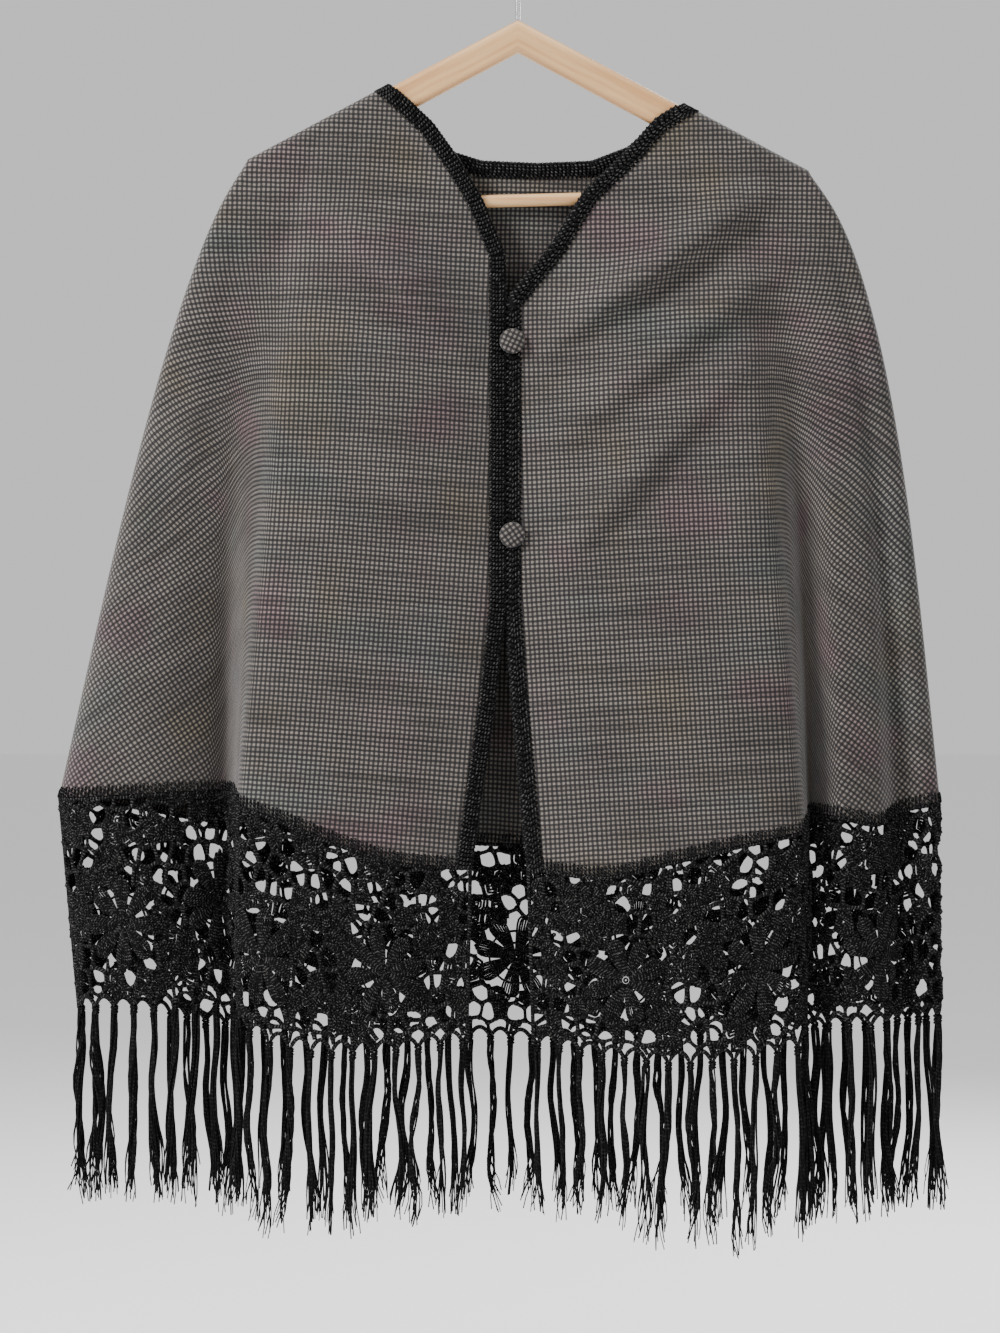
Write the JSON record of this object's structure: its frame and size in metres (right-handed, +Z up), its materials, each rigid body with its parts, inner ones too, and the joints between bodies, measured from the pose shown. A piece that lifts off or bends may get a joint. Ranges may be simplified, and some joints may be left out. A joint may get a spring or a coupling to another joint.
{
  "type": "ruana wrap on a hanger",
  "caption": "Buttoned wool ruana wrap with crocheted neck and front edges and a deep net hem with raised flowers and fringe, hung open from the arms of a wooden hanger.",
  "frame": {"origin": "inside the top of the hanger's hook, where a rail carries it", "axes": "+Z up, +X to the right seen from the front of the wrap, -Y towards the viewer of the fronts"},
  "size_m": [0.694, 0.118, 1.0396],
  "materials": {
    "checked_wool": "matte, tiny two-tone check",
    "black_crochet": "soft twisted yarn",
    "pale_wood": "satin varnish",
    "steel": "bright wire"
  },
  "bodies": {
    "root": {"front_left": "checked_wool", "front_right": "checked_wool", "back": "checked_wool", "edging_left": "black_crochet", "edging_right": "black_crochet", "edging_back": "black_crochet", "lace_left": "black_crochet", "lace_right": "black_crochet", "lace_back": "black_crochet", "fringe_left": "black_crochet", "fringe_right": "black_crochet", "fringe_back": "black_crochet", "button_upper": "checked_wool", "button_lower": "checked_wool", "hanger_arms": "pale_wood", "hanger_bar": "pale_wood", "hanger_hook": "steel"}
  },
  "joints": []
}
